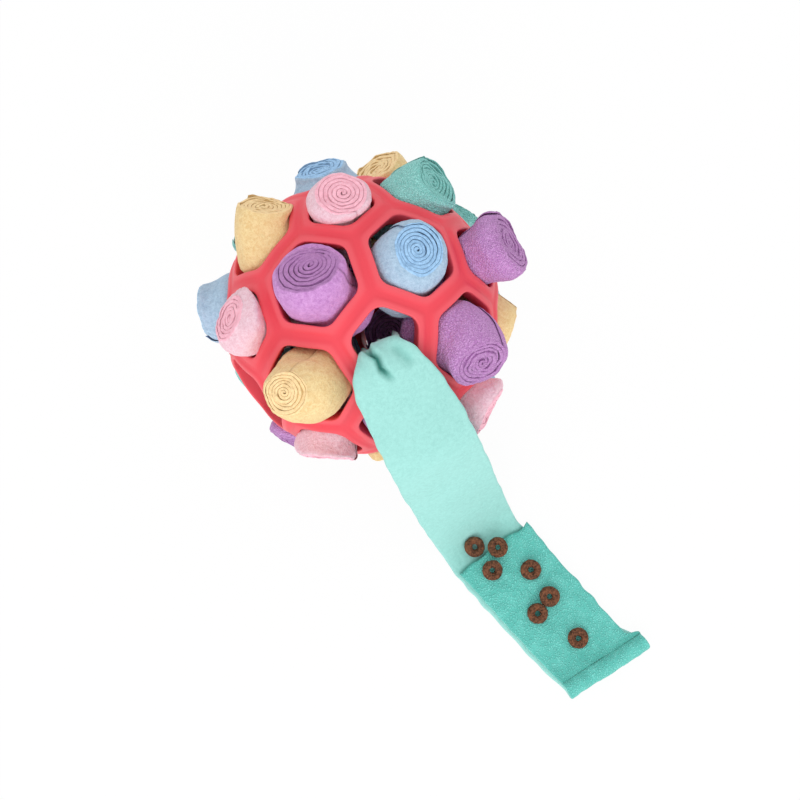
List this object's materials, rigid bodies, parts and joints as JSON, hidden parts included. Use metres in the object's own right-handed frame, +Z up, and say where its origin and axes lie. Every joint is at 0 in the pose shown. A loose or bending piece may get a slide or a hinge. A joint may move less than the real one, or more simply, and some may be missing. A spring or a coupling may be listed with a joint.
{
  "type": "dog snuffle ball",
  "caption": "Hollow rubber foraging ball for a dog, its pentagon and hexagon openings plugged with rolled fleece strips, one strip pulled out with ring treats on it.",
  "frame": {"origin": "centre of the outline's box, on the floor that the lowest rolls and the unrolled strip rest on", "axes": "+Z up; +Y from the folded end of the unrolled strip towards the far side of the ball; +X to the right as seen from the strip's side"},
  "size_m": [0.2046, 0.2406, 0.1446],
  "materials": {
    "coral_rubber": "satin",
    "purple_fleece": "matte",
    "blue_fleece": "matte",
    "pink_fleece": "matte",
    "yellow_fleece": "matte",
    "teal_fleece": "matte",
    "mint_fleece": "matte",
    "brown_biscuit": "matte"
  },
  "bodies": {
    "ball": {"rubber_ball": "coral_rubber"},
    "purple_roll_1_body": {"purple_roll_1": "purple_fleece"},
    "blue_roll_1_body": {"blue_roll_1": "blue_fleece"},
    "pink_roll_1_body": {"pink_roll_1": "pink_fleece"},
    "teal_roll_1_body": {"teal_roll_1": "teal_fleece"},
    "yellow_roll_1_body": {"yellow_roll_1": "yellow_fleece"},
    "pink_roll_2_body": {"pink_roll_2": "pink_fleece"},
    "yellow_roll_2_body": {"yellow_roll_2": "yellow_fleece"},
    "purple_roll_2_body": {"purple_roll_2": "purple_fleece"},
    "purple_roll_3_body": {"purple_roll_3": "purple_fleece"},
    "blue_roll_2_body": {"blue_roll_2": "blue_fleece"},
    "blue_roll_3_body": {"blue_roll_3": "blue_fleece"},
    "yellow_roll_3_body": {"yellow_roll_3": "yellow_fleece"},
    "pink_roll_3_body": {"pink_roll_3": "pink_fleece"},
    "pink_roll_4_body": {"pink_roll_4": "pink_fleece"},
    "purple_roll_4_body": {"purple_roll_4": "purple_fleece"},
    "teal_roll_2_body": {"teal_roll_2": "teal_fleece"},
    "purple_roll_5_body": {"purple_roll_5": "purple_fleece"},
    "yellow_roll_4_body": {"yellow_roll_4": "yellow_fleece"},
    "teal_roll_3_body": {"teal_roll_3": "teal_fleece"},
    "teal_roll_4_body": {"teal_roll_4": "teal_fleece"},
    "yellow_roll_5_body": {"yellow_roll_5": "yellow_fleece"},
    "teal_roll_5_body": {"teal_roll_5": "teal_fleece"},
    "blue_roll_4_body": {"blue_roll_4": "blue_fleece"},
    "teal_roll_6_body": {"teal_roll_6": "teal_fleece"},
    "pink_roll_5_body": {"pink_roll_5": "pink_fleece"},
    "purple_roll_6_body": {"purple_roll_6": "purple_fleece"},
    "yellow_roll_6_body": {"yellow_roll_6": "yellow_fleece"},
    "pink_roll_6_body": {"pink_roll_6": "pink_fleece"},
    "blue_roll_5_body": {"blue_roll_5": "blue_fleece"},
    "purple_roll_7_body": {"purple_roll_7": "purple_fleece"},
    "yellow_roll_7_body": {"yellow_roll_7": "yellow_fleece"},
    "strip": {"teal_strip": "mint_fleece"},
    "ring_treat_1_body": {"ring_treat_1": "brown_biscuit"},
    "ring_treat_2_body": {"ring_treat_2": "brown_biscuit"},
    "ring_treat_3_body": {"ring_treat_3": "brown_biscuit"},
    "ring_treat_4_body": {"ring_treat_4": "brown_biscuit"},
    "ring_treat_5_body": {"ring_treat_5": "brown_biscuit"},
    "ring_treat_6_body": {"ring_treat_6": "brown_biscuit"},
    "ring_treat_7_body": {"ring_treat_7": "brown_biscuit"}
  },
  "joints": [
    {"name": "purple_roll_1_pull", "type": "slide", "parent": "ball", "child": "purple_roll_1_body", "axis": [-0.3114, 0.0012, 0.9503], "range_m": [0, 0.026]},
    {"name": "blue_roll_1_pull", "type": "slide", "parent": "ball", "child": "blue_roll_1_body", "axis": [0.3661, 0.2207, 0.904], "range_m": [0, 0.026]},
    {"name": "pink_roll_1_pull", "type": "slide", "parent": "ball", "child": "pink_roll_1_body", "axis": [-0.1396, 0.5973, 0.7897], "range_m": [0, 0.026]},
    {"name": "teal_roll_1_pull", "type": "slide", "parent": "ball", "child": "teal_roll_1_body", "axis": [0.3843, 0.7912, 0.4757], "range_m": [0, 0.026]},
    {"name": "yellow_roll_1_pull", "type": "slide", "parent": "ball", "child": "yellow_roll_1_body", "axis": [-0.7118, 0.4361, 0.5505], "range_m": [0, 0.026]},
    {"name": "pink_roll_2_pull", "type": "slide", "parent": "ball", "child": "pink_roll_2_body", "axis": [-0.7922, -0.1992, 0.5769], "range_m": [0, 0.026]},
    {"name": "yellow_roll_2_pull", "type": "slide", "parent": "ball", "child": "yellow_roll_2_body", "axis": [-0.3505, -0.6541, 0.6703], "range_m": [0, 0.026]},
    {"name": "purple_roll_2_pull", "type": "slide", "parent": "ball", "child": "purple_roll_2_body", "axis": [0.7457, -0.299, 0.5955], "range_m": [0, 0.026]},
    {"name": "purple_roll_3_pull", "type": "slide", "parent": "ball", "child": "purple_roll_3_body", "axis": [0.8229, 0.324, 0.4667], "range_m": [0, 0.026]},
    {"name": "blue_roll_2_pull", "type": "slide", "parent": "ball", "child": "blue_roll_2_body", "axis": [-0.2819, 0.9243, 0.2573], "range_m": [0, 0.026]},
    {"name": "blue_roll_3_pull", "type": "slide", "parent": "ball", "child": "blue_roll_3_body", "axis": [-0.9985, 0.0496, 0.0235], "range_m": [0, 0.026]},
    {"name": "yellow_roll_3_pull", "type": "slide", "parent": "ball", "child": "yellow_roll_3_body", "axis": [0.9985, -0.0496, -0.0235], "range_m": [0, 0.026]},
    {"name": "pink_roll_3_pull", "type": "slide", "parent": "ball", "child": "pink_roll_3_body", "axis": [0.7653, -0.6414, 0.0542], "range_m": [0, 0.004]},
    {"name": "pink_roll_4_pull", "type": "slide", "parent": "ball", "child": "pink_roll_4_body", "axis": [-0.2329, -0.9648, 0.1223], "range_m": [0, 0.026]},
    {"name": "purple_roll_4_pull", "type": "slide", "parent": "ball", "child": "purple_roll_4_body", "axis": [-0.3843, -0.7912, -0.4757], "range_m": [0, 0.026]},
    {"name": "teal_roll_2_pull", "type": "slide", "parent": "ball", "child": "teal_roll_2_body", "axis": [-0.7752, -0.6242, 0.0975], "range_m": [0, 0.026]},
    {"name": "purple_roll_5_pull", "type": "slide", "parent": "ball", "child": "purple_roll_5_body", "axis": [0.3028, -0.8396, 0.451], "range_m": [0, 0.006]},
    {"name": "yellow_roll_4_pull", "type": "slide", "parent": "ball", "child": "yellow_roll_4_body", "axis": [0.2819, -0.9243, -0.2573], "range_m": [0, 0.013]},
    {"name": "teal_roll_3_pull", "type": "slide", "parent": "ball", "child": "teal_roll_3_body", "axis": [-0.7653, 0.6414, -0.0542], "range_m": [0, 0.026]},
    {"name": "teal_roll_4_pull", "type": "slide", "parent": "ball", "child": "teal_roll_4_body", "axis": [0.7752, 0.6242, -0.0975], "range_m": [0, 0.026]},
    {"name": "yellow_roll_5_pull", "type": "slide", "parent": "ball", "child": "yellow_roll_5_body", "axis": [0.2329, 0.9648, -0.1223], "range_m": [0, 0.026]},
    {"name": "teal_roll_5_pull", "type": "slide", "parent": "ball", "child": "teal_roll_5_body", "axis": [-0.8229, -0.324, -0.4667], "range_m": [0, 0.026]},
    {"name": "blue_roll_4_pull", "type": "slide", "parent": "ball", "child": "blue_roll_4_body", "axis": [0.7118, -0.4361, -0.5505], "range_m": [0, 0.026]},
    {"name": "teal_roll_6_pull", "type": "slide", "parent": "ball", "child": "teal_roll_6_body", "axis": [0.7922, 0.1992, -0.5769], "range_m": [0, 0.026]},
    {"name": "pink_roll_5_pull", "type": "slide", "parent": "ball", "child": "pink_roll_5_body", "axis": [0.1396, -0.5973, -0.7897], "range_m": [0, 0.026]},
    {"name": "purple_roll_6_pull", "type": "slide", "parent": "ball", "child": "purple_roll_6_body", "axis": [-0.3028, 0.8396, -0.451], "range_m": [0, 0.026]},
    {"name": "yellow_roll_6_pull", "type": "slide", "parent": "ball", "child": "yellow_roll_6_body", "axis": [-0.7457, 0.299, -0.5955], "range_m": [0, 0.026]},
    {"name": "pink_roll_6_pull", "type": "slide", "parent": "ball", "child": "pink_roll_6_body", "axis": [0.3505, 0.6541, -0.6703], "range_m": [0, 0.026]},
    {"name": "blue_roll_5_pull", "type": "slide", "parent": "ball", "child": "blue_roll_5_body", "axis": [-0.3661, -0.2207, -0.904], "range_m": [0, 0.026]},
    {"name": "purple_roll_7_pull", "type": "slide", "parent": "ball", "child": "purple_roll_7_body", "axis": [0.3114, -0.0012, -0.9503], "range_m": [0, 0.026]},
    {"name": "yellow_roll_7_pull", "type": "slide", "parent": "ball", "child": "yellow_roll_7_body", "axis": [-0.1894, 0.3953, -0.8988], "range_m": [0, 0.026]},
    {"name": "strip_pull", "type": "slide", "parent": "ball", "child": "strip", "axis": [0.1894, -0.3953, 0.8988], "range_m": [0, 0.02]},
    {"name": "ring_treat_1_lift", "type": "slide", "parent": "strip", "child": "ring_treat_1_body", "axis": [0, 0, 1], "range_m": [0, 0.03]},
    {"name": "ring_treat_2_lift", "type": "slide", "parent": "strip", "child": "ring_treat_2_body", "axis": [0, 0, 1], "range_m": [0, 0.03]},
    {"name": "ring_treat_3_lift", "type": "slide", "parent": "strip", "child": "ring_treat_3_body", "axis": [0, 0, 1], "range_m": [0, 0.03]},
    {"name": "ring_treat_4_lift", "type": "slide", "parent": "strip", "child": "ring_treat_4_body", "axis": [0, 0, 1], "range_m": [0, 0.03]},
    {"name": "ring_treat_5_lift", "type": "slide", "parent": "strip", "child": "ring_treat_5_body", "axis": [0, 0, 1], "range_m": [0, 0.03]},
    {"name": "ring_treat_6_lift", "type": "slide", "parent": "strip", "child": "ring_treat_6_body", "axis": [0, 0, 1], "range_m": [0, 0.03]},
    {"name": "ring_treat_7_lift", "type": "slide", "parent": "strip", "child": "ring_treat_7_body", "axis": [0, 0, 1], "range_m": [0, 0.03]}
  ]
}
